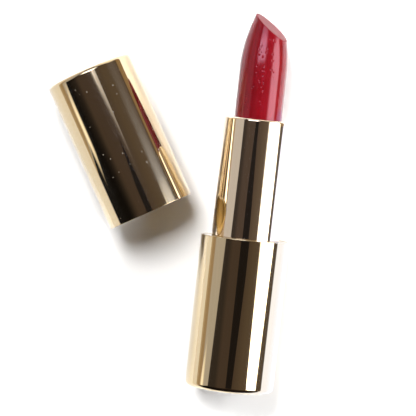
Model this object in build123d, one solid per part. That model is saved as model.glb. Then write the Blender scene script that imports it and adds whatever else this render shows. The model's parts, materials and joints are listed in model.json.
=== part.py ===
"""A twist-up lipstick case with its cap off, lying on a flat surface.

Frame, in millimetres: +Z is up and the surface is z = 0. The stick lies along +Y, from the foot of its base
to the tip of the lipstick. The loose cap lies beside it, turned CAP_TURN about Z. The origin is the centre
of the whole layout, at the surface.

Every stick piece is drawn standing, with its axis on Z and the base's foot at height 0, and is then laid
down. Cap pieces are drawn standing on the cap's mouth. A radius is always from the piece's own axis.

The twist mechanism: the inner tube is fixed in the base and has two straight slots. The cup that holds the
lipstick slides in it, and its two lugs pass through those slots into the helical slots of the cam. The cam
is fixed in the sleeve, so turning the sleeve on the base drives the cup along the axis.
"""

import os
from math import atan2, cos, hypot, pi, radians, sin, sqrt

from build123d import *

# Outside sizes
CASE_RADIUS = 11.25  # base and cap are the same diameter
BASE_LENGTH = 38.7
SLEEVE_RADIUS = 8.6
SLEEVE_REACH = 30.4  # how far the sleeve stands out of the base
BULLET_RADIUS = 6.05
BULLET_REACH = 26.9  # how far the raised lipstick stands out of the sleeve
CAP_LENGTH = 39.2

# Where the loose cap lies: its middle, seen from the base's foot, and its turn about Z
CAP_ASIDE = -34.42
CAP_ALONG = 59.75
CAP_TURN = 30.1

# Walls, edges and fits
SHELL_WALL = 0.5
FLOOR_WALL = 0.6
CORNER = 1.2  # outer rounding of the base's foot
CAP_CORNER = 0.9  # outer rounding of the cap's closed end
EDGE = 0.12  # broken edge of a cut metal rim
GLUE_GAP = 0.03  # between pieces that are glued or pressed together
OVERLAP = 0.2  # how far a rib or lug runs into the wall that it joins

# Heights and radii that the stick's pieces share
SLEEVE_TOP = BASE_LENGTH + SLEEVE_REACH
TIP = SLEEVE_TOP + BULLET_REACH
SHELL_BORE = CASE_RADIUS - SHELL_WALL
INSERT_RADIUS = SHELL_BORE - GLUE_GAP
WEIGHT_TOP = 5.9
LABEL_RADIUS = 8.4
LABEL_DEPTH = 0.15
SOCKET_FOOT = 21.0  # lower end of the stem that the inner tube stands on
STEM_RADIUS = 6.5
SLEEVE_FOOT = 29.9  # lower end of the sleeve, inside the base
SLEEVE_BORE = 8.2
GROOVE_LOW = 37.9  # groove rolled into the sleeve, which locks it on the cam
GROOVE_HIGH = 38.75
GROOVE_DEPTH = 0.2

# Twist mechanism
TRAVEL = 27.5  # of the cup, from raised to fully down
PITCH = 22.0  # of the cam's helix, per turn
LUG_RADIUS = 0.8
LUG_TIP = 7.85  # radius that the lugs reach
LUG_HEIGHT = 62.4
TUBE_BORE = 6.8
TUBE_RADIUS = 7.35
TUBE_FLOOR = 31.4
FLANGE_RADIUS = 8.1
CAM_BORE = 7.45
CAM_RADIUS = 8.15
CAM_FOOT = 31.8
CAM_TOP = 68.2
CUP_RADIUS = 6.7
CUP_BORE = 6.1
CUP_FOOT = 59.2
CUP_FLOOR = 60.2
CUP_TOP = 68.5
CUP_RIB = 0.35  # how far the cup's ribs stand into the lipstick
RING_HEIGHT = 30.7  # of the drag ring's middle
RING_SECTION = 0.4
RING_SEAT = 7.36
RING_GROOVE = 0.9

# The cap's liner
LINER_BORE = 8.65
LINER_MOUTH = 0.35  # how far the liner stands back from the shell's mouth
LINER_TOP = 37.2


def turned(*outline):
    """Revolves an outline of (radius, height) points about Z."""
    corners = [(radius, 0, height) for radius, height in outline]
    return revolve(make_face(Polyline(*corners, close=True)), Axis.Z)


def tube(outer, inner, low, high):
    return turned((inner, low), (outer, low), (outer, high), (inner, high))


def disc(radius, low, high):
    return turned((0, low), (radius, low), (radius, high), (0, high))


def rim(piece, radius, height):
    """The piece's circular edge of that radius at that height."""
    close = 1e-4
    return [
        edge
        for edge in piece.edges().filter_by(GeomType.CIRCLE)
        if abs(edge.radius - radius) < close and abs(edge.center(CenterOf.BOUNDING_BOX).Z - height) < close
    ]


def spokes(count, inner, outer, thickness, low, high):
    """Radial ribs that join two walls, evenly spaced round Z."""
    length = outer - inner + 2 * OVERLAP
    rib = Box(length, thickness, high - low, align=(Align.MIN, Align.CENTER, Align.MIN))
    return [Rot(0, 0, 360 * i / count) * Pos(inner - OVERLAP, 0, low) * rib for i in range(count)]


# The base: what the fingers hold


def base_shell():
    """Drawn aluminium cup with a rounded foot and a shallow recess under it for the label."""
    shell = turned(
        (0, 0),
        (CASE_RADIUS, 0),
        (CASE_RADIUS, BASE_LENGTH),
        (SHELL_BORE, BASE_LENGTH),
        (SHELL_BORE, FLOOR_WALL),
        (0, FLOOR_WALL),
    )
    shell = fillet(rim(shell, CASE_RADIUS, 0), CORNER)
    shell = fillet(rim(shell, SHELL_BORE, FLOOR_WALL), CORNER - SHELL_WALL)
    shell = fillet(rim(shell, CASE_RADIUS, BASE_LENGTH), EDGE)
    label_gap = 0.1
    return shell - disc(LABEL_RADIUS + label_gap, 0, LABEL_DEPTH)


def bottom_label():
    """Blank round sticker in the foot's recess."""
    thickness = 0.12
    return disc(LABEL_RADIUS, LABEL_DEPTH - thickness, LABEL_DEPTH)


def base_weight():
    """Steel slug in the foot. It keeps the stick lying level with the lipstick raised."""
    slug = disc(INSERT_RADIUS, FLOOR_WALL + GLUE_GAP, WEIGHT_TOP)
    return chamfer(rim(slug, INSERT_RADIUS, FLOOR_WALL + GLUE_GAP), CORNER - SHELL_WALL)


def base_insert():
    """Moulded holder glued into the shell: a socket for the inner tube's stem, with ribs to the wall."""
    floor_top = 7.2
    wall_bore = 10.0
    socket_bore = STEM_RADIUS + GLUE_GAP
    socket_radius = 7.7
    web_foot = 28.5
    web_top = 29.7
    guide_bore = SLEEVE_RADIUS + 0.15
    guide_top = 33.9
    body = turned(
        (0, WEIGHT_TOP + GLUE_GAP),
        (INSERT_RADIUS, WEIGHT_TOP + GLUE_GAP),
        (INSERT_RADIUS, guide_top),
        (guide_bore, guide_top),
        (guide_bore, web_top),
        (socket_bore, web_top),
        (socket_bore, floor_top),
        (0, floor_top),
    )
    rib_count = 6
    rib_wall = 0.8
    body -= tube(wall_bore, socket_radius, floor_top, web_foot)
    for rib in spokes(rib_count, socket_radius, wall_bore, rib_wall, floor_top, web_foot):
        body += rib
    return body


def shoulder_ring():
    """Gold collar that closes the base's top round the sleeve. The cap's mouth meets it."""
    top = BASE_LENGTH - 0.06
    flange_foot = top - 1.1
    skirt_foot = 34.0
    skirt_bore = 10.1
    running_gap = 0.12
    bore = SLEEVE_RADIUS + running_gap
    ring = turned(
        (bore, flange_foot),
        (skirt_bore, flange_foot),
        (skirt_bore, skirt_foot),
        (INSERT_RADIUS, skirt_foot),
        (INSERT_RADIUS, top),
        (bore, top),
    )
    return chamfer(rim(ring, bore, top), EDGE)


# The mechanism


def inner_tube():
    """Slotted tube with a solid stem. A bead at the top keeps the cam on. A groove holds the drag ring."""
    bead = 0.2
    bead_foot = CAM_TOP - 0.7
    stem_chamfer = 0.6
    flange_foot = SLEEVE_FOOT - 0.1
    flange_top = CAM_FOOT - 0.15
    groove_low = RING_HEIGHT - RING_GROOVE / 2
    groove_high = RING_HEIGHT + RING_GROOVE / 2
    body = turned(
        (0, SOCKET_FOOT),
        (STEM_RADIUS - stem_chamfer, SOCKET_FOOT),
        (STEM_RADIUS, SOCKET_FOOT + stem_chamfer),
        (STEM_RADIUS, flange_foot),
        (FLANGE_RADIUS, flange_foot),
        (FLANGE_RADIUS, groove_low),
        (RING_SEAT, groove_low),
        (RING_SEAT, groove_high),
        (FLANGE_RADIUS, groove_high),
        (FLANGE_RADIUS, flange_top),
        (TUBE_RADIUS, flange_top),
        (TUBE_RADIUS, bead_foot),
        (TUBE_RADIUS + bead, bead_foot + bead),
        (TUBE_RADIUS, CAM_TOP),
        (TUBE_BORE, CAM_TOP),
        (TUBE_BORE, TUBE_FLOOR),
        (0, TUBE_FLOOR),
    )
    lug_gap = 0.15
    width = 2 * (LUG_RADIUS + lug_gap)
    middle = LUG_HEIGHT - TRAVEL / 2
    outline = Plane.YZ * Pos(0, middle) * Rot(0, 0, 90) * SlotOverall(TRAVEL + width, width)
    return body - extrude(outline, 2 * CAM_RADIUS, both=True)


def drag_ring():
    """Silicone ring between the tube's flange and the sleeve. Its drag keeps the lipstick in place."""
    middle = SLEEVE_BORE - GLUE_GAP - RING_SECTION
    section = Plane.XZ * Pos(middle, RING_HEIGHT) * Circle(RING_SECTION)
    return revolve(section, Axis.Z)


def helical_slot():
    """Cutter for one of the cam's slots. The raised lug's place is at height 0, angle 0."""
    lug_gap = 0.2
    width = 2 * (LUG_RADIUS + lug_gap)
    middle = (CAM_BORE + CAM_RADIUS) / 2
    depth = CAM_RADIUS - CAM_BORE + 3 * OVERLAP
    overrun = 1.2  # along the slot, past the lug's last place
    turn_length = hypot(2 * pi * middle, PITCH)
    rise = overrun / turn_length * PITCH
    path = Helix(pitch=PITCH, height=TRAVEL + 2 * rise, radius=middle)
    section = Plane(origin=path @ 0, x_dir=(1, 0, 0), z_dir=path % 0) * Rectangle(depth, width)
    cutter = sweep(section, path=path, is_frenet=True)
    return Rot(0, 0, -360 * (TRAVEL + rise) / PITCH) * Pos(0, 0, -TRAVEL - rise) * cutter


def cam_spiral():
    """Tube with two helical slots, half a turn apart. The lugs run in them."""
    relief_foot = CAM_TOP - 0.8
    relief_bore = TUBE_RADIUS + 0.35
    groove_radius = CAM_RADIUS - GROOVE_DEPTH
    body = turned(
        (CAM_BORE, CAM_FOOT),
        (CAM_RADIUS, CAM_FOOT),
        (CAM_RADIUS, GROOVE_LOW - GLUE_GAP),
        (groove_radius, GROOVE_LOW - GLUE_GAP),
        (groove_radius, GROOVE_HIGH + GLUE_GAP),
        (CAM_RADIUS, GROOVE_HIGH + GLUE_GAP),
        (CAM_RADIUS, CAM_TOP),
        (relief_bore, CAM_TOP),
        (relief_bore, relief_foot),
        (CAM_BORE, relief_foot),
    )
    cutter = Pos(0, 0, LUG_HEIGHT) * helical_slot()
    return body - cutter - Rot(0, 0, 180) * cutter


def sleeve_shell():
    """Polished aluminium tube, turned in at the top to a rounded lip round the lipstick."""
    lip_bore = 6.95
    lip_foot = SLEEVE_TOP - 0.5
    lip_corner = 0.55
    outer_groove = SLEEVE_RADIUS - GROOVE_DEPTH
    inner_bead = SLEEVE_BORE - GROOVE_DEPTH
    shell = turned(
        (SLEEVE_BORE, SLEEVE_FOOT),
        (SLEEVE_RADIUS, SLEEVE_FOOT),
        (SLEEVE_RADIUS, GROOVE_LOW),
        (outer_groove, GROOVE_LOW),
        (outer_groove, GROOVE_HIGH),
        (SLEEVE_RADIUS, GROOVE_HIGH),
        (SLEEVE_RADIUS, SLEEVE_TOP),
        (lip_bore, SLEEVE_TOP),
        (lip_bore, lip_foot),
        (SLEEVE_BORE, lip_foot),
        (SLEEVE_BORE, GROOVE_HIGH),
        (inner_bead, GROOVE_HIGH),
        (inner_bead, GROOVE_LOW),
        (SLEEVE_BORE, GROOVE_LOW),
    )
    shell = fillet(rim(shell, SLEEVE_RADIUS, SLEEVE_TOP), lip_corner)
    return fillet(rim(shell, lip_bore, SLEEVE_TOP), EDGE)


def cup_ribs(clearance=0.0):
    """Four ribs that key the lipstick in the cup, or the same ribs grown by a clearance."""
    rib_count = 4
    width = 0.5 + 2 * clearance
    inner = CUP_BORE - CUP_RIB - clearance + OVERLAP
    top = CUP_TOP - 2.0 + clearance
    ribs = spokes(rib_count, inner, CUP_BORE, width, CUP_FLOOR - OVERLAP, top)
    return [Rot(0, 0, 180 / rib_count) * rib for rib in ribs]


def bullet_cup():
    """Cup that carries the lipstick, with its ribs and two lugs."""
    cup = turned(
        (0, CUP_FOOT),
        (CUP_RADIUS, CUP_FOOT),
        (CUP_RADIUS, CUP_TOP),
        (CUP_BORE, CUP_TOP),
        (CUP_BORE, CUP_FLOOR),
        (0, CUP_FLOOR),
    )
    for rib in cup_ribs():
        cup += rib
    root = CUP_RADIUS - OVERLAP
    lug = Plane.YZ * Cylinder(LUG_RADIUS, LUG_TIP - root, align=(Align.CENTER, Align.CENTER, Align.MIN))
    for turn in (0, 180):
        cup += Rot(0, 0, turn) * Pos(root, 0, LUG_HEIGHT) * lug
    return cup


def lipstick_bullet():
    """Moulded lipstick: a cylinder that tapers along an arc and is cut off aslant."""
    taper_start = SLEEVE_TOP + 12.3
    taper_radius = 38.4
    slant = 38.0  # of the cut, from square
    face_turn = 21.0  # of the cut about the axis, towards the sky
    arc_middle = BULLET_RADIUS - taper_radius
    point = taper_start + sqrt(taper_radius**2 - arc_middle**2)
    halfway = atan2(point - taper_start, -arc_middle) / 2
    foot = CUP_FLOOR + GLUE_GAP
    side = Line((BULLET_RADIUS, 0, foot), (BULLET_RADIUS, 0, taper_start))
    taper = ThreePointArc(
        (BULLET_RADIUS, 0, taper_start),
        (arc_middle + taper_radius * cos(halfway), 0, taper_start + taper_radius * sin(halfway)),
        (0, 0, point),
    )
    axis_line = Line((0, 0, point), (0, 0, foot))
    base_line = Line((0, 0, foot), (BULLET_RADIUS, 0, foot))
    body = revolve(make_face([side, taper, axis_line, base_line]), Axis.Z)
    # The cut's highest point is on the tapered side, opposite the way that its face looks.
    tip_radius = arc_middle + sqrt(taper_radius**2 - (TIP - taper_start) ** 2)
    aim = Rot(0, 0, -face_turn) * Pos(-tip_radius, 0, TIP) * Rot(0, slant, 0)
    beyond = 6 * BULLET_RADIUS
    cutter = Box(beyond, beyond, beyond, align=(Align.CENTER, Align.CENTER, Align.MIN))
    body -= aim * cutter
    for rib in cup_ribs(GLUE_GAP):
        body -= rib
    return body


# The cap


def cap_shell():
    """Drawn aluminium cup. Its mouth is at height 0."""
    shell = turned(
        (SHELL_BORE, 0),
        (CASE_RADIUS, 0),
        (CASE_RADIUS, CAP_LENGTH),
        (0, CAP_LENGTH),
        (0, CAP_LENGTH - FLOOR_WALL),
        (SHELL_BORE, CAP_LENGTH - FLOOR_WALL),
    )
    shell = fillet(rim(shell, CASE_RADIUS, CAP_LENGTH), CAP_CORNER)
    shell = fillet(rim(shell, SHELL_BORE, CAP_LENGTH - FLOOR_WALL), CAP_CORNER - SHELL_WALL)
    return fillet(rim(shell, CASE_RADIUS, 0), EDGE)


def cap_liner():
    """Moulded liner that grips the sleeve, with a lead-in at the mouth and ribs out to the shell."""
    wall_radius = 9.5
    flange_top = LINER_MOUTH + 1.4
    end_foot = LINER_TOP - 1.2
    lead_in = 0.5
    body = turned(
        (LINER_BORE + lead_in, LINER_MOUTH),
        (INSERT_RADIUS, LINER_MOUTH),
        (INSERT_RADIUS, flange_top),
        (wall_radius, flange_top),
        (wall_radius, LINER_TOP),
        (0, LINER_TOP),
        (0, end_foot),
        (LINER_BORE, end_foot),
        (LINER_BORE, LINER_MOUTH + lead_in),
    )
    rib_count = 12
    rib_wall = 0.7
    rib_end = INSERT_RADIUS - GLUE_GAP - OVERLAP
    for rib in spokes(rib_count, wall_radius, rib_end, rib_wall, flange_top - OVERLAP, LINER_TOP):
        body += rib
    return body


STICK = {
    "base_shell": base_shell,
    "bottom_label": bottom_label,
    "base_weight": base_weight,
    "base_insert": base_insert,
    "shoulder_ring": shoulder_ring,
    "inner_tube": inner_tube,
    "drag_ring": drag_ring,
    "cam_spiral": cam_spiral,
    "sleeve_shell": sleeve_shell,
    "bullet_cup": bullet_cup,
    "lipstick_bullet": lipstick_bullet,
}
CAP = {"cap_shell": cap_shell, "cap_liner": cap_liner}


def layout():
    """Where the stick and the cap lie, so that the origin is the middle of both, at the surface."""
    turn = radians(CAP_TURN)
    cap_half_width = (
        (CAP_LENGTH / 2 - CAP_CORNER) * sin(turn) + (CASE_RADIUS - CAP_CORNER) * cos(turn) + CAP_CORNER
    )
    stick_x = -(CAP_ASIDE - cap_half_width + CASE_RADIUS) / 2
    foot_y = -TIP / 2
    laid = Rot(-90, 0, 0)
    stick = Pos(stick_x, foot_y, CASE_RADIUS) * laid
    cap_middle = Pos(stick_x + CAP_ASIDE, foot_y + CAP_ALONG, CASE_RADIUS)
    cap = cap_middle * Rot(0, 0, CAP_TURN) * laid * Pos(0, 0, -CAP_LENGTH / 2)
    return stick, cap


def main():
    os.makedirs("parts", exist_ok=True)
    stick, cap = layout()
    for place, pieces in ((stick, STICK), (cap, CAP)):
        for name, build in pieces.items():
            export_step(place * build(), f"parts/{name}.step")
    axis_x, foot_y = stick.position.X, stick.position.Y
    mouth = cap.position
    print(f"stick axis x {axis_x:.4f}, foot y {foot_y:.4f}, sleeve top y {foot_y + SLEEVE_TOP:.4f}")
    print(f"cap mouth x {mouth.X:.4f}, y {mouth.Y:.4f}")
    print(f"cup travel per radian of twist, m: {PITCH / 2000 / pi:.7f}")
    print(f"whole twist, degrees: {360 * TRAVEL / PITCH:.1f}")


main()
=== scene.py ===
import json
import math
import random

import bmesh
import bpy
from mathutils import Matrix, Vector


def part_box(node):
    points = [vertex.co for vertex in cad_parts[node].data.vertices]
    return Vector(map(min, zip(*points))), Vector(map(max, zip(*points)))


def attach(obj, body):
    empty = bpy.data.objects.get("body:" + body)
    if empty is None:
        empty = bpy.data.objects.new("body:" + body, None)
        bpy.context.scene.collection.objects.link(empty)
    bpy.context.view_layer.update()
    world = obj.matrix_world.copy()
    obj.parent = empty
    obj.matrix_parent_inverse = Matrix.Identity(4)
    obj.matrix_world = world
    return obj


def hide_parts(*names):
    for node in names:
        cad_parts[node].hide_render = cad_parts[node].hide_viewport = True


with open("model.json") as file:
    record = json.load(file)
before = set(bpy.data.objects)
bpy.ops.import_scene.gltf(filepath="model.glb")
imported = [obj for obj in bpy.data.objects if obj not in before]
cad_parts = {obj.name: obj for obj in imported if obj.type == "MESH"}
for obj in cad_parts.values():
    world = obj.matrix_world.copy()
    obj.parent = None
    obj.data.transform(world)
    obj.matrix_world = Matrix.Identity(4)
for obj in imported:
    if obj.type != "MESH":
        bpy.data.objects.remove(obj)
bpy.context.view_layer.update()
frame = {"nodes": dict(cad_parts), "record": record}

# Looks of a lipstick case: mirror-polished gold shells, a waxy moulded lipstick, and a loose cap beside
# them. Places come from the CAD frame. A stick piece is drawn standing, in millimetres, with its axis on Z
# and the base's foot at height 0, and STICK lays it down in the frame's metres. CAP does the same for a
# piece drawn standing on the cap's mouth.

MM = 0.001

# The frame's own sizes: radii and heights above the base's foot, in millimetres

base_low, base_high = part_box("base_shell")
sleeve_low, sleeve_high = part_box("sleeve_shell")
bullet_low, bullet_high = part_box("lipstick_bullet")
ring_low, ring_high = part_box("shoulder_ring")
AXIS_X = (base_low.x + base_high.x) / 2
AXIS_Z = (base_low.z + base_high.z) / 2
FOOT_Y = base_low.y
CASE_RADIUS = (base_high.z - base_low.z) / 2 / MM
BASE_LENGTH = (base_high.y - FOOT_Y) / MM
SLEEVE_RADIUS = (sleeve_high.z - sleeve_low.z) / 2 / MM
SLEEVE_FOOT = (sleeve_low.y - FOOT_Y) / MM
SLEEVE_TOP = (sleeve_high.y - FOOT_Y) / MM
BULLET_RADIUS = (bullet_high.z - bullet_low.z) / 2 / MM
BULLET_FOOT = (bullet_low.y - FOOT_Y) / MM
TIP = (bullet_high.y - FOOT_Y) / MM
RING_FOOT = (ring_low.y - FOOT_Y) / MM
RING_TOP = (ring_high.y - FOOT_Y) / MM

# Sizes that the CAD part sets inside its pieces, in millimetres

SHELL_WALL = 0.5
FLOOR_WALL = 0.6
SHELL_BORE = CASE_RADIUS - SHELL_WALL
FOOT_CORNER = 1.2
CAP_CORNER = 0.9
CAP_LENGTH = 39.2
EDGE = 0.12  # broken edge of a cut metal rim
BORE_SETBACK = 0.85  # from the cap's mouth to the start of its bore

lay_down = Matrix.Rotation(-math.pi / 2, 4, "X") @ Matrix.Scale(MM, 4)
STICK = Matrix.Translation((AXIS_X, FOOT_Y, AXIS_Z)) @ lay_down

cap_bore = next(m for m in frame["record"]["mounts"] if m["name"] == "cap_mouth")
cap_out = Vector(cap_bore["axis"])
CAP_TURN = math.atan2(cap_out.x, -cap_out.y)
cap_mouth = Vector(cap_bore["pos_m"]) + cap_out * (cap_bore["dims"]["length_mm"] / 2 + BORE_SETBACK) * MM
CAP = Matrix.Translation(cap_mouth) @ Matrix.Rotation(CAP_TURN, 4, "Z") @ lay_down


# The lipstick's taper and its slanted cut, in millimetres and radians, as the CAD part makes them

TAPER_START = SLEEVE_TOP + 12.3
TAPER_RADIUS = 38.4
SLANT = math.radians(38)
FACE_TURN = math.radians(21)


def side_radius(height):
    """Radius of the lipstick's side."""
    if height <= TAPER_START:
        return BULLET_RADIUS
    return BULLET_RADIUS - TAPER_RADIUS + math.sqrt(TAPER_RADIUS**2 - (height - TAPER_START) ** 2)


CUT_RISE = math.tan(SLANT)
CUT_AXIS_HEIGHT = TIP - CUT_RISE * side_radius(TIP)  # where the cut meets the axis

# The cut's plane in the frame, in metres: its normal, and the normal's dot product with a place on it
standing_normal = Vector((CUT_RISE * math.cos(FACE_TURN), -CUT_RISE * math.sin(FACE_TURN), 1)).normalized()
CUT_NORMAL = Matrix.Rotation(-math.pi / 2, 3, "X") @ standing_normal
CUT_OFFSET = CUT_NORMAL.dot(STICK @ Vector((0, 0, CUT_AXIS_HEIGHT)))


# Node helpers


def shader(name):
    """A new material and the tools to fill it: its node tree and its Principled shader."""
    material = bpy.data.materials.new(name)
    material.use_nodes = True
    tree = material.node_tree
    return material, tree, tree.nodes["Principled BSDF"]


def node(tree, kind, inputs=None, **settings):
    """Adds a node. Each input is a value, or an output socket to link from."""
    made = tree.nodes.new(kind)
    for key, value in settings.items():
        setattr(made, key, value)
    for key, value in (inputs or {}).items():
        if isinstance(value, bpy.types.NodeSocket):
            tree.links.new(value, made.inputs[key])
        else:
            made.inputs[key].default_value = value
    return made


def wire(tree, target, **sockets):
    """Links outputs to a shader's inputs, named with spaces as underscores."""
    for key, output in sockets.items():
        tree.links.new(output, target.inputs[key.replace("_", " ")])


def calculate(tree, operation, *values):
    """The result of a Math node on numbers or sockets."""
    return node(tree, "ShaderNodeMath", dict(enumerate(values)), operation=operation).outputs[0]


def mix_colours(tree, factor, first, second, blend_type="MIX"):
    """The result of a colour Mix node, whose inputs are 0 for the factor, 6 and 7 for the colours."""
    inputs = {0: factor, 6: first, 7: second}
    return node(tree, "ShaderNodeMix", inputs, data_type="RGBA", blend_type=blend_type).outputs[2]


def ramp(tree, factor, stops):
    """A colour ramp over factor, from (position, colour or grey) stops."""
    made = node(tree, "ShaderNodeValToRGB", {"Fac": factor})
    elements = made.color_ramp.elements
    for i, (position, value) in enumerate(stops):
        element = elements[i] if i < len(elements) else elements.new(position)
        element.position = position
        element.color = (*value, 1) if hasattr(value, "__len__") else (value, value, value, 1)
    return made.outputs["Color"]


def real_scale(tree, turn=0.0, stretch=(1, 1, 1)):
    """Object coordinates in millimetres, turned about Z and then stretched along each axis."""
    place = node(tree, "ShaderNodeTexCoord").outputs["Object"]
    upright = node(tree, "ShaderNodeMapping", {"Vector": place, "Rotation": (0, 0, -turn)}).outputs[0]
    scale = [1 / MM / s for s in stretch]
    return node(tree, "ShaderNodeMapping", {"Vector": upright, "Scale": scale}).outputs[0]


def noise(tree, place, size, detail=2.0, roughness=0.5):
    """Noise with features about size millimetres across."""
    inputs = {"Vector": place, "Scale": 1 / size, "Detail": detail, "Roughness": roughness}
    return node(tree, "ShaderNodeTexNoise", inputs).outputs["Fac"]


def bump(tree, height, depth, normal=None):
    """Bump of a 0 to 1 height, depth metres deep."""
    inputs = {"Height": height, "Distance": depth, "Strength": 1.0}
    if normal is not None:
        inputs["Normal"] = normal
    return node(tree, "ShaderNodeBump", inputs).outputs["Normal"]


# Materials

SPECK_RADIUS = 0.12  # of a speck of dust, in millimetres
DUST = (0.45, 0.40, 0.35, 1)
WIPE_TURN = math.radians(50)  # of the haze's streaks, from the drawing lines


def gold(name, turn, face, haze_most, speck_spacing):
    """Mirror-polished gold anodised aluminium, with faint drawing lines, wiped haze and specks of dust."""
    material, tree, metal = shader(name)
    place = real_scale(tree)
    drawn = real_scale(tree, turn, stretch=(1, 60, 1))
    wiped = real_scale(tree, turn + WIPE_TURN, stretch=(1, 12, 1))

    lines = noise(tree, drawn, size=0.5, detail=3)
    darker = [0.985 * c for c in face]
    lighter = [1.015 * c for c in face]
    tint = ramp(tree, lines, [(0.3, darker), (0.7, lighter)])
    patches = noise(tree, place, size=7, detail=4, roughness=0.6)
    polish = ramp(tree, patches, [(0.35, 0.028), (0.75, 0.050)])
    streaks = noise(tree, wiped, size=0.35, detail=3)
    haze = ramp(tree, streaks, [(0.35, 0.3), (0.65, haze_most)])

    cells = node(tree, "ShaderNodeTexVoronoi", {"Vector": place, "Scale": 1 / speck_spacing})
    speck = SPECK_RADIUS / speck_spacing
    dust = ramp(tree, cells.outputs["Distance"], [(0.6 * speck, 1), (speck, 0)])
    colour = mix_colours(tree, dust, tint, DUST)
    metallic = calculate(tree, "SUBTRACT", 1.0, dust)
    rough = calculate(tree, "MAXIMUM", polish, dust)

    wire(tree, metal, Base_Color=colour, Roughness=rough, Metallic=metallic, Coat_Weight=haze)
    wire(tree, metal, Normal=bump(tree, lines, depth=1.5e-7))
    metal.inputs["Coat Roughness"].default_value = 0.20
    return material


def wax():
    """Lipstick: crimson wax with a soft gloss, a fine uneven skin and a rougher cut face."""
    cut_fade = (0.22, 0.04)  # how far under the cut's plane its finish begins and is full, in millimetres
    cut_roughness = 0.30  # added to the side's
    side_shine = 0.75
    cut_shine = 0.40

    material, tree, skin = shader("lipstick_wax")
    place = real_scale(tree)
    patches = noise(tree, place, size=3.0, detail=4)
    grain = noise(tree, place, size=0.3, detail=2)
    flow = noise(tree, real_scale(tree, stretch=(1, 20, 1)), size=1.2, detail=2)
    tint = ramp(tree, patches, [(0.3, (0.122, 0.0020, 0.0045)), (0.7, (0.150, 0.0032, 0.0075))])
    gloss = ramp(tree, flow, [(0.3, 0.11), (0.7, 0.16)])

    where = node(tree, "ShaderNodeTexCoord").outputs["Object"]
    dot = node(tree, "ShaderNodeVectorMath", {0: where, 1: CUT_NORMAL}, operation="DOT_PRODUCT")
    begins, full = (CUT_OFFSET - below * MM for below in cut_fade)
    cut = node(tree, "ShaderNodeMapRange", {0: dot.outputs["Value"], 1: begins, 2: full}).outputs[0]
    rough = calculate(tree, "MULTIPLY_ADD", cut, cut_roughness, gloss)
    shine = calculate(tree, "MULTIPLY_ADD", cut, cut_shine - side_shine, side_shine)
    relief = bump(tree, grain, depth=1.5e-6, normal=bump(tree, flow, depth=5e-6))

    wire(tree, skin, Base_Color=tint, Roughness=rough, Specular_IOR_Level=shine, Normal=relief)
    skin.inputs["Subsurface Weight"].default_value = 0.2
    skin.inputs["Subsurface Radius"].default_value = (1.0, 0.10, 0.08)
    skin.inputs["Subsurface Scale"].default_value = 0.0005
    skin.inputs["IOR"].default_value = 1.46
    skin.inputs["Specular Tint"].default_value = (1.0, 0.6, 0.7, 1)
    return material


def plastic(name, dark, light, gloss):
    """Moulded plastic with a fine spark-eroded grain and faint flow marks."""
    material, tree, body = shader(name)
    place = real_scale(tree)
    flow = noise(tree, place, size=5, detail=3)
    grain = noise(tree, place, size=0.2, detail=2)
    rough = ramp(tree, grain, [(0.3, gloss - 0.06), (0.7, gloss + 0.06)])
    tint = ramp(tree, flow, [(0.3, dark), (0.7, light)])
    wire(tree, body, Base_Color=tint, Roughness=rough, Normal=bump(tree, grain, depth=3e-6))
    return material


def plated_steel():
    """Zinc-plated turned steel."""
    material, tree, metal = shader("steel")
    spangle = noise(tree, real_scale(tree), size=1.2, detail=4)
    tint = ramp(tree, spangle, [(0.3, (0.46, 0.46, 0.47)), (0.7, (0.60, 0.60, 0.60))])
    rough = ramp(tree, spangle, [(0.3, 0.28), (0.7, 0.42)])
    wire(tree, metal, Base_Color=tint, Roughness=rough, Normal=bump(tree, spangle, depth=2e-6))
    metal.inputs["Metallic"].default_value = 1
    return material


def label_paper():
    """Blank satin sticker with paper fibre in it."""
    material, tree, paper = shader("label")
    fibre = noise(tree, real_scale(tree), size=0.15, detail=5, roughness=0.7)
    tint = ramp(tree, fibre, [(0.3, (0.80, 0.78, 0.74)), (0.7, (0.90, 0.88, 0.85))])
    rough = ramp(tree, fibre, [(0.3, 0.45), (0.7, 0.6)])
    wire(tree, paper, Base_Color=tint, Roughness=rough, Normal=bump(tree, fibre, depth=4e-6))
    return material


GOLD = (0.66, 0.533, 0.333)
PALE_GOLD = (0.88, 0.74, 0.56)
gold_stick = gold("gold_stick", 0.0, GOLD, haze_most=0.6, speck_spacing=12)
gold_sleeve = gold("gold_sleeve", 0.0, PALE_GOLD, haze_most=1.0, speck_spacing=4)
gold_cap = gold("gold_cap", CAP_TURN, GOLD, haze_most=1.0, speck_spacing=1.9)
lipstick_wax = wax()
natural_plastic = plastic("natural_plastic", (0.76, 0.75, 0.71), (0.84, 0.83, 0.79), gloss=0.38)
dark_plastic = plastic("dark_plastic", (0.020, 0.019, 0.018), (0.032, 0.030, 0.028), gloss=0.40)
ochre_plastic = plastic("ochre_plastic", (0.57, 0.38, 0.13), (0.63, 0.44, 0.17), gloss=0.30)
silicone = plastic("silicone", (0.55, 0.55, 0.54), (0.62, 0.62, 0.61), gloss=0.5)
steel = plated_steel()
paper = label_paper()

CAD_MATERIALS = {
    "base_shell": gold_stick,
    "shoulder_ring": gold_stick,
    "sleeve_shell": gold_sleeve,
    "cap_shell": gold_cap,
    "cap_liner": ochre_plastic,
    "base_insert": natural_plastic,
    "inner_tube": natural_plastic,
    "bullet_cup": natural_plastic,
    "cam_spiral": dark_plastic,
    "drag_ring": silicone,
    "base_weight": steel,
    "bottom_label": paper,
    "lipstick_bullet": lipstick_wax,
}
for name, material in CAD_MATERIALS.items():
    for slot in frame["nodes"][name].material_slots:
        slot.material = material


# Turned shells

AROUND = 256
ARC_STEP = math.radians(9)
FEWEST_STEPS = 3
SOFT_EDGE = 0.03  # rounding of an edge that looks sharp
HOLD = 0.02  # how far a straight stretch keeps its own normals beside a rounding


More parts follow.
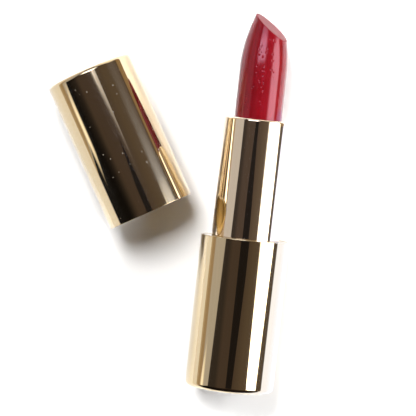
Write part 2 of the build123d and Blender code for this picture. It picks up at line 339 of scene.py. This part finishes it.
def round_corner(corner, before, after, rounding, steps=None):
    """The arc that rounds a corner between two unit directions, and how far it reaches along each."""
    half = before.angle(after) / 2
    reach = rounding / math.tan(half)
    centre = corner + (before + after).normalized() * rounding / math.sin(half)
    first = corner + before * reach - centre
    turn = (math.pi - 2 * half) * math.copysign(1, before.cross(after))
    if steps is None:
        steps = max(FEWEST_STEPS, math.ceil(abs(turn) / ARC_STEP))
    arc = [centre + Matrix.Rotation(-turn * step / steps, 2) @ first for step in range(steps + 1)]
    return arc, reach


def rounded(corners):
    """The points of an outline of (radius, height, rounding) corners, each rounded by an arc."""
    points = []
    for i, (radius, height, rounding) in enumerate(corners):
        corner = Vector((radius, height))
        if radius == 0:
            points.append(corner)
            continue
        before = (Vector(corners[i - 1][:2]) - corner).normalized()
        after = (Vector(corners[(i + 1) % len(corners)][:2]) - corner).normalized()
        arc, reach = round_corner(corner, before, after, rounding)
        points.append(corner + before * (reach + HOLD))
        points += arc
        points.append(corner + after * (reach + HOLD))
    return points


def turned(name, corners, place, material, body, node_name):
    """A turned solid that stands for a CAD node. Its outline is closed, or has its ends on the axis."""
    outline = rounded([(radius, height, rounding or SOFT_EDGE) for radius, height, rounding in corners])
    angles = [2 * math.pi * i / AROUND for i in range(AROUND)]
    shape = bmesh.new()
    rings = []
    for radius, height in outline:
        if radius == 0:
            rings.append([shape.verts.new((0, 0, height))])
        else:
            circle = [(radius * math.cos(a), radius * math.sin(a), height) for a in angles]
            rings.append([shape.verts.new(spot) for spot in circle])
    pairs = list(zip(rings, rings[1:]))
    if corners[0][0] > 0:
        pairs.append((rings[-1], rings[0]))
    for low, high in pairs:
        for i in range(AROUND):
            j = (i + 1) % AROUND
            loop = [low[i % len(low)], low[j % len(low)], high[j % len(high)], high[i % len(high)]]
            shape.faces.new(list(dict.fromkeys(loop)))
    finished(name, shape, place, material, body, node_name)


def finished(name, shape, place, material, body, node_name):
    """Makes the bmesh a smooth object in its place, which rides on its body and stands for a CAD node."""
    bmesh.ops.recalc_face_normals(shape, faces=shape.faces)
    bmesh.ops.transform(shape, matrix=place, verts=shape.verts)
    for face in shape.faces:
        face.smooth = True
    mesh = bpy.data.meshes.new(name)
    shape.to_mesh(mesh)
    shape.free()
    piece = bpy.data.objects.new(name, mesh)
    bpy.context.scene.collection.objects.link(piece)
    mesh.materials.append(material)
    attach(piece, body)
    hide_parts(node_name)


def base_gold():
    """The base's cup, with a rounded foot and a shallow recess under it for the label."""
    recess_radius = 8.5
    recess_depth = 0.15
    outline = [
        (0, recess_depth, 0),
        (recess_radius, recess_depth, 0),
        (recess_radius, 0, 0),
        (CASE_RADIUS, 0, FOOT_CORNER),
        (CASE_RADIUS, BASE_LENGTH, EDGE),
        (SHELL_BORE, BASE_LENGTH, 0),
        (SHELL_BORE, FLOOR_WALL, FOOT_CORNER - SHELL_WALL),
        (0, FLOOR_WALL, 0),
    ]
    turned("base_gold", outline, STICK, gold_stick, "base", "base_shell")


def shoulder_gold():
    """The collar that closes the base's top round the sleeve."""
    running_gap = 0.12
    glue_gap = 0.03
    flange = 1.1
    skirt_bore = 10.1
    outer_edge = 0.05
    bore = SLEEVE_RADIUS + running_gap
    radius = SHELL_BORE - glue_gap
    outline = [
        (bore, RING_TOP - flange, 0),
        (skirt_bore, RING_TOP - flange, 0),
        (skirt_bore, RING_FOOT, 0),
        (radius, RING_FOOT, 0),
        (radius, RING_TOP, outer_edge),
        (bore, RING_TOP, EDGE),
    ]
    turned("shoulder_gold", outline, STICK, gold_stick, "base", "shoulder_ring")


def sleeve_gold():
    """The sleeve, turned in at its top to a rounded lip, with a rolled groove near the base's top."""
    tube_wall = 0.4
    lip_bore = 6.95
    lip_wall = 0.5
    lip_corner = 0.55
    groove = 0.2
    groove_low = BASE_LENGTH - 0.8
    groove_high = BASE_LENGTH + 0.05
    bore = SLEEVE_RADIUS - tube_wall
    outline = [
        (SLEEVE_RADIUS, SLEEVE_FOOT, 0),
        (SLEEVE_RADIUS, groove_low, 0),
        (SLEEVE_RADIUS - groove, groove_low, 0),
        (SLEEVE_RADIUS - groove, groove_high, 0),
        (SLEEVE_RADIUS, groove_high, 0),
        (SLEEVE_RADIUS, SLEEVE_TOP, lip_corner),
        (lip_bore, SLEEVE_TOP, EDGE),
        (lip_bore, SLEEVE_TOP - lip_wall, 0),
        (bore, SLEEVE_TOP - lip_wall, 0),
        (bore, groove_high, 0),
        (bore - groove, groove_high, 0),
        (bore - groove, groove_low, 0),
        (bore, groove_low, 0),
        (bore, SLEEVE_FOOT, 0),
    ]
    turned("sleeve_gold", outline, STICK, gold_sleeve, "sleeve", "sleeve_shell")


def cap_gold():
    """The cap, open at its mouth and rounded at its closed end."""
    outline = [
        (0, CAP_LENGTH - FLOOR_WALL, 0),
        (SHELL_BORE, CAP_LENGTH - FLOOR_WALL, CAP_CORNER - SHELL_WALL),
        (SHELL_BORE, 0, 0),
        (CASE_RADIUS, 0, EDGE),
        (CASE_RADIUS, CAP_LENGTH, CAP_CORNER),
        (0, CAP_LENGTH, 0),
    ]
    turned("cap_gold", outline, CAP, gold_cap, "cap", "cap_shell")


base_gold()
shoulder_gold()
sleeve_gold()
cap_gold()


# The lipstick: round, tapered along an arc and cut aslant, with a softened edge and small pits. Its mesh
# is a fan of columns round the axis. Each runs from the foot, up the side and over the cut to its middle.

STEM_RADIUS = 5.7  # inside the cup's ribs
STEM_TOP = SLEEVE_TOP - 2.55  # just above the ribs
SIDE_FOOT = STEM_TOP + 0.4  # where the side's even spacing starts
SKIN = 0.11  # spacing of the mesh
COLUMNS = round(2 * math.pi * BULLET_RADIUS / SKIN)
SIDE_STEPS = round((TIP - SLEEVE_TOP) / SKIN)
EDGE_STEPS = 7
FACE_STEPS = 24
HALVINGS = 40  # in the search for the cut's height
PAST_TIP = 1.0  # how far above the tip that search starts
TIP_ROUNDING = 0.22  # of the cut's edge, at its highest
LOW_ROUNDING = 0.54  # of the cut's edge, at its lowest
PIT_SEED = 7
PIT_RADII = (0.17, 0.30)
PIT_DEPTHS = (0.06, 0.13)
PIT_GROUPS = [
    # angle from the sky towards +X, height above the sleeve, spread round and along, and count
    (-0.16, 17.2, 0.12, 1.5, 8),
    (0.06, 10.0, 0.06, 7.0, 13),
    (0.42, 17.0, 0.05, 4.0, 6),
    (-0.30, 7.0, 0.25, 5.0, 5),
    (0.35, 20.5, 0.15, 1.0, 3),
    (-0.50, 9.0, 0.35, 7.0, 9),
    (0.20, 13.0, 0.30, 8.0, 10),
]


def pits():
    """Small pits in the skin, as (angle, height, radius, depth)."""
    chance = random.Random(PIT_SEED)
    made = []
    for angle, height, round_it, along_it, count in PIT_GROUPS:
        for _ in range(count):
            pit_angle = angle + chance.uniform(-round_it, round_it)
            pit_height = height + chance.uniform(-along_it, along_it)
            made.append((pit_angle, pit_height, chance.uniform(*PIT_RADII), chance.uniform(*PIT_DEPTHS)))
    return made


def pitted(angle, radius, height, all_pits):
    """How deep the pits go at a place on the skin. A pit fades out from its middle to its rim."""
    deep = 0.0
    for pit_angle, pit_height, size, depth in all_pits:
        across = math.hypot((angle - pit_angle) * radius, height - SLEEVE_TOP - pit_height)
        if across < size:
            deep += depth * (1 + math.cos(math.pi * across / size)) / 2
    return deep


def cut_height(slope):
    """Height at which the cut leaves the side, where it falls by slope outwards."""
    low, high = SLEEVE_TOP, TIP + PAST_TIP
    for _ in range(HALVINGS):
        middle = (low + high) / 2
        if middle > CUT_AXIS_HEIGHT - slope * side_radius(middle):
            high = middle
        else:
            low = middle
    return low


def column(angle):
    """The lipstick's outline at an angle round its axis, as (radius, height) points, without pits."""
    facing = math.cos(angle + FACE_TURN)  # 1 where the cut is lowest, -1 at the tip
    slope = CUT_RISE * facing
    corner_height = cut_height(slope)
    corner = Vector((side_radius(corner_height), corner_height))
    lean = 0.0
    if corner_height > TAPER_START:
        lean = math.asin((corner_height - TAPER_START) / TAPER_RADIUS)
    down = Vector((math.sin(lean), -math.cos(lean)))
    inward = Vector((-1, slope)).normalized()
    rounding = TIP_ROUNDING + (LOW_ROUNDING - TIP_ROUNDING) * (1 + facing) / 2
    edge, reach = round_corner(corner, down, inward, rounding, EDGE_STEPS)

    points = [(STEM_RADIUS, BULLET_FOOT), (STEM_RADIUS, STEM_TOP), (side_radius(STEM_TOP), STEM_TOP)]
    side_length = corner.y + down.y * reach - SIDE_FOOT
    for step in range(SIDE_STEPS):
        height = SIDE_FOOT + side_length * step / SIDE_STEPS
        points.append((side_radius(height), height))
    points += edge
    face_start = corner + inward * reach
    face_end = Vector((0, CUT_AXIS_HEIGHT))
    for step in range(1, FACE_STEPS):
        points.append(face_start + (face_end - face_start) * step / FACE_STEPS)
    return points


def lipstick():
    """The lipstick's mesh, with its pits pressed in."""
    all_pits = pits()
    shape = bmesh.new()
    columns = []
    for i in range(COLUMNS):
        angle = 2 * math.pi * i / COLUMNS
        spoke = Vector((math.cos(angle), math.sin(angle), 0))
        sky_angle = math.atan2(spoke.x, -spoke.y)
        made = []
        for radius, height in column(angle):
            if radius > BULLET_RADIUS / 2:
                place = spoke * (radius - pitted(sky_angle, radius, height, all_pits))
            else:
                place = spoke * radius
            place.z = height
            made.append(shape.verts.new(place))
        columns.append(made)
    top = shape.verts.new((0, 0, CUT_AXIS_HEIGHT))
    foot = shape.verts.new((0, 0, BULLET_FOOT))
    for here, after in zip(columns, columns[1:] + columns[:1]):
        for k in range(len(here) - 1):
            shape.faces.new((here[k], after[k], after[k + 1], here[k + 1]))
        shape.faces.new((here[-1], after[-1], top))
        shape.faces.new((foot, after[0], here[0]))
    finished("lipstick", shape, STICK, lipstick_wax, "carrier", "lipstick_bullet")


lipstick()


# Camera, nearly straight down, with the stick leaning as it lies in the view. From here on, places are in
# the frame's metres.

LENS = 195.15
SENSOR = 36
NEAREST = 0.01
VIEW_LEAN = math.radians(6.2)
view_from = Vector((0.0399, 0.0198, 0.585))
view_at = Vector((0.0110, -0.00274, 0.01125))


def place_camera():
    """Aims the camera, with its top turned by VIEW_LEAN from +Y."""
    camera_data = bpy.data.cameras.new("camera")
    camera_data.lens = LENS
    camera_data.sensor_width = SENSOR
    camera_data.clip_start = NEAREST
    camera = bpy.data.objects.new("camera", camera_data)
    bpy.context.scene.collection.objects.link(camera)
    back = (view_from - view_at).normalized()
    up = Vector((-math.sin(VIEW_LEAN), math.cos(VIEW_LEAN), 0))
    right = up.cross(back).normalized()
    up = back.cross(right)
    axes = Matrix((right, up, back)).transposed()
    camera.matrix_world = Matrix.Translation(view_from) @ axes.to_4x4()
    bpy.context.scene.camera = camera


place_camera()


# Floor and light. Lights that reflections don't see cast the light and the shadows. Cards that only
# reflections see are the studio that the metal mirrors: an octagonal softbox on the right, a slant-topped
# board on the left, a bright strip high behind the tip, and the dark camera rig overhead.


def card(name, corners, colour, strength=None, fades=None, seen=False):
    """A flat polygon that isn't part of the object. Unless it is seen, only reflections show it.

    It glows where it has a strength. A fade is (axis, stops) across the card, 0 to 1.
    """
    mesh = bpy.data.meshes.new(name)
    mesh.from_pydata(corners, [], [range(len(corners))])
    sheet = bpy.data.objects.new(name, mesh)
    bpy.context.scene.collection.objects.link(sheet)
    material, tree, face = shader(name)
    face.inputs["Base Color"].default_value = (*colour, 1)
    face.inputs["Roughness"].default_value = 0.9
    face.inputs["Specular IOR Level"].default_value = 0.0
    if strength is not None:
        face.inputs["Base Color"].default_value = (0, 0, 0, 1)
        face.inputs["Emission Color"].default_value = (*colour, 1)
        face.inputs["Emission Strength"].default_value = strength
    if fades:
        across = node(tree, "ShaderNodeTexCoord").outputs["Generated"]
        parts = node(tree, "ShaderNodeSeparateXYZ", {"Vector": across}).outputs
        levels = [ramp(tree, parts[axis], stops) for axis, stops in fades]
        level = levels[0]
        for other in levels[1:]:
            level = calculate(tree, "MULTIPLY", level, other)
        wire(tree, face, Alpha=level)
    mesh.materials.append(material)
    if not seen:
        sheet.visible_camera = False
        sheet.visible_diffuse = False
        sheet.visible_shadow = False


def across_x(x, outline):
    """A card's corners, from its (y, z) outline, where it stands across X."""
    return [(x, y, z) for y, z in outline]


def level_at(height, outline):
    """A card's corners, from its (x, y) outline, where it lies level."""
    return [(x, y, height) for x, y in outline]


def rectangle(low_a, high_a, low_b, high_b):
    """The outline of a rectangle, from its ranges on two axes."""
    return [(low_a, low_b), (high_a, low_b), (high_a, high_b), (low_a, high_b)]


def wall(start, start_height, end, end_height):
    """A card's corners, where it stands on the floor from one (x, y) place to another."""
    return [(*start, 0), (*start, start_height), (*end, end_height), (*end, 0)]


def softbox(name, azimuth, elevation, distance, width, height, radiance):
    """A rectangular area light that reflections don't see. It faces the object. Azimuth is from +X to +Y."""
    light = bpy.data.lights.new(name, "AREA")
    light.shape = "RECTANGLE"
    light.size = width
    light.size_y = height
    light.energy = radiance * math.pi * width * height
    lamp = bpy.data.objects.new(name, light)
    bpy.context.scene.collection.objects.link(lamp)
    turn, rise = math.radians(azimuth), math.radians(elevation)
    toward = Vector((math.cos(turn) * math.cos(rise), math.sin(turn) * math.cos(rise), math.sin(rise)))
    lamp.location = toward * distance
    lamp.rotation_euler = toward.to_track_quat("Z", "Y").to_euler()
    lamp.visible_glossy = False


HALF_FLOOR = 1.5
floor = level_at(0, rectangle(-HALF_FLOOR, HALF_FLOOR, -HALF_FLOOR, HALF_FLOOR))
card("floor", floor, (0.85, 0.85, 0.85), seen=True)

softbox("key_fill", azimuth=116, elevation=64, distance=0.6, width=0.23, height=0.23, radiance=29.5)
softbox("right_fill", azimuth=4, elevation=26, distance=0.6, width=0.5, height=0.34, radiance=14.0)
softbox("top_fill", azimuth=90, elevation=88, distance=0.9, width=0.9, height=0.9, radiance=0.2)

# The right softbox: an octagon, standing, with a soft end and a bluish glow beyond it
BOX_X = 0.53
box_y = (-0.125, 0.015, 0.20, 0.32)
box_z = (0.010, 0.165, 0.480, 0.630)
octagon = [(box_y[1], box_z[0]), (box_y[2], box_z[0]), (box_y[3], box_z[1]), (box_y[3], box_z[2])]
octagon += [(box_y[2], box_z[3]), (box_y[1], box_z[3]), (box_y[0], box_z[2]), (box_y[0], box_z[1])]
foot_fade = [(0.0, 0.0), (0.03, 0.1), (0.07, 0.4), (0.12, 1)]
top_fade = [(0.75, 1), (0.84, 0.3), (0.92, 0.08), (1.0, 0.0)]
box_fades = [
    ("Y", [(0.0, 1), (0.90, 1), (0.95, 0.25), (1.0, 0.05)]),
    ("Z", foot_fade + top_fade),
]
card("right_box", across_x(BOX_X, octagon), (1, 1, 1), 5.5, box_fades)
glow_fades = [
    ("Y", [(0.0, 1), (0.15, 0.45), (0.35, 0.16), (0.6, 0.07), (1.0, 0.0)]),
    ("Z", [(0.0, 0.15), (0.35, 1), (0.65, 1), (1.0, 0.0)]),
]
glow = across_x(BOX_X, rectangle(0.30, 0.46, 0.10, 0.52))
card("right_glow", glow, (0.9, 0.97, 1.25), 0.85, glow_fades)

# Low on the right: a dark flag and a brown one that meet at a corner, and the bright floor
FLAG_CORNER = (0.092, 0.02)
FLAG_HEIGHT = 0.022
flag_fades = [("Z", [(0.0, 0), (0.2, 1), (0.75, 1), (1.0, 0)])]
flag = wall(FLAG_CORNER, FLAG_HEIGHT, (0.30, -0.135), FLAG_HEIGHT)
card("right_flag", flag, (0.12, 0.10, 0.08), 1.0, flag_fades)
far_flag = wall(FLAG_CORNER, FLAG_HEIGHT, (0.05, 0.16), 0.034)
card("far_flag", far_flag, (0.38, 0.26, 0.14), 1.0)
OVER_FLOOR = 0.0008  # height of a card that stands for floor
right_floor = level_at(OVER_FLOOR, rectangle(0.034, 0.3, -0.4, 0.024))
card("right_floor", right_floor, (0.71, 0.80, 1.12), 2.1)

# The left: the floor, and a board whose top edge slopes down towards the base's foot
left_floor = level_at(OVER_FLOOR, rectangle(-0.4, -0.036, -0.4, 0.2))
card("left_floor", left_floor, (1, 0.98, 0.97), 1.13)
BOARD_X = -0.45
BOARD_END = 0.6
board = [(BOARD_END, 0), (BOARD_END, 0.50), (0.0, 0.50), (-0.1, 0.37), (-0.21, 0.18), (-0.235, 0)]
card("left_board", across_x(BOARD_X, board), (1, 0.96, 0.95), 0.60)

# Painted shade along the board's foot: two glowing bands, darker and warmer than the board, just in front of
# it, stand for the shadow under the board. Then a small bright glint
BAND_X = -0.44
LOW_BAND_TOP = 0.04
SHADE_BAND_TOP = 0.12
shade_band = [(BOARD_END, LOW_BAND_TOP), (BOARD_END, SHADE_BAND_TOP), (-0.205, SHADE_BAND_TOP), (-0.22, LOW_BAND_TOP)]
card("left_shade_band", across_x(BAND_X, shade_band), (0.48, 0.36, 0.235), 1.0)
low_shade_band = [(BOARD_END, 0), (BOARD_END, LOW_BAND_TOP), (-0.225, LOW_BAND_TOP), (-0.23, 0)]
card("left_low_shade_band", across_x(BAND_X, low_shade_band), (0.62, 0.50, 0.34), 1.0)
soft = [(0.0, 0), (0.4, 1), (0.6, 1), (1.0, 0)]
glint = across_x(-0.2, [(-0.104, 0.060), (-0.086, 0.108), (-0.054, 0.102), (-0.072, 0.054)])
card("left_glint", glint, (1, 0.93, 0.82), 1.8, [("Y", soft), ("Z", soft)])

# Overhead: the bright strip behind the tip, and the dark rig just above it
STRIP_HEIGHT = 0.6
RIG_HEIGHT = 0.61
strip_fades = [
    ("X", [(0.0, 1), (0.80, 1), (0.88, 0.25), (1.0, 0.08)]),
    ("Y", [(0.0, 0), (0.045, 0.06), (0.12, 1), (0.45, 1), (0.6, 0.5), (1.0, 0.5)]),
]
strip = level_at(STRIP_HEIGHT, rectangle(-0.33, 0.14, 0.085, 0.60))
card("key_strip", strip, (0.97, 1, 1.15), 5.0, strip_fades)
rig = [(-0.046, -0.13), (0.10, -0.13), (0.178, -0.06), (0.170, -0.03), (0.092, 0.012), (0.085, 0.062)]
rig += [(0.03, 0.062), (-0.05, -0.015)]
card("rig", level_at(RIG_HEIGHT, rig), (0.016, 0.013, 0.012), 1.0)

# The pale end of the table, which the sleeve sees in the cap's side
TABLE_END_HEIGHT = 0.25
table_end = wall((0.30, 0.42), TABLE_END_HEIGHT, (-0.15, 0.50), TABLE_END_HEIGHT)
card("table_end", table_end, (1, 0.96, 0.86), 1.15)


def surroundings():
    """A dim warm room, darker on the left and behind the foot. The camera sees it as white."""
    world = bpy.data.worlds.new("studio")
    bpy.context.scene.world = world
    world.use_nodes = True
    tree = world.node_tree
    direction = node(tree, "ShaderNodeTexCoord").outputs["Generated"]
    halved = {"Vector": direction, "Location": (0.5, 0.5, 0), "Scale": (0.5, 0.5, 1)}
    shares = node(tree, "ShaderNodeMapping", halved).outputs[0]  # X and Y, each from 0 to 1
    parts = node(tree, "ShaderNodeSeparateXYZ", {"Vector": shares}).outputs
    warm = (0.083, 0.061, 0.050)
    sides = [(0.20, (0.047, 0.038, 0.033)), (0.275, warm), (0.55, warm), (0.75, (0.125, 0.095, 0.070))]
    room = ramp(tree, parts["X"], sides)
    behind_foot = ramp(tree, parts["Y"], [(0.31, 0.15), (0.34, 0.45), (0.40, 1.0)])
    dim = mix_colours(tree, 1.0, room, behind_foot, blend_type="MULTIPLY")
    seen = node(tree, "ShaderNodeLightPath").outputs["Is Camera Ray"]
    mixed = mix_colours(tree, seen, dim, (1, 1, 1, 1))
    tree.links.new(mixed, tree.nodes["Background"].inputs["Color"])


surroundings()
bpy.context.scene.view_settings.view_transform = "Standard"
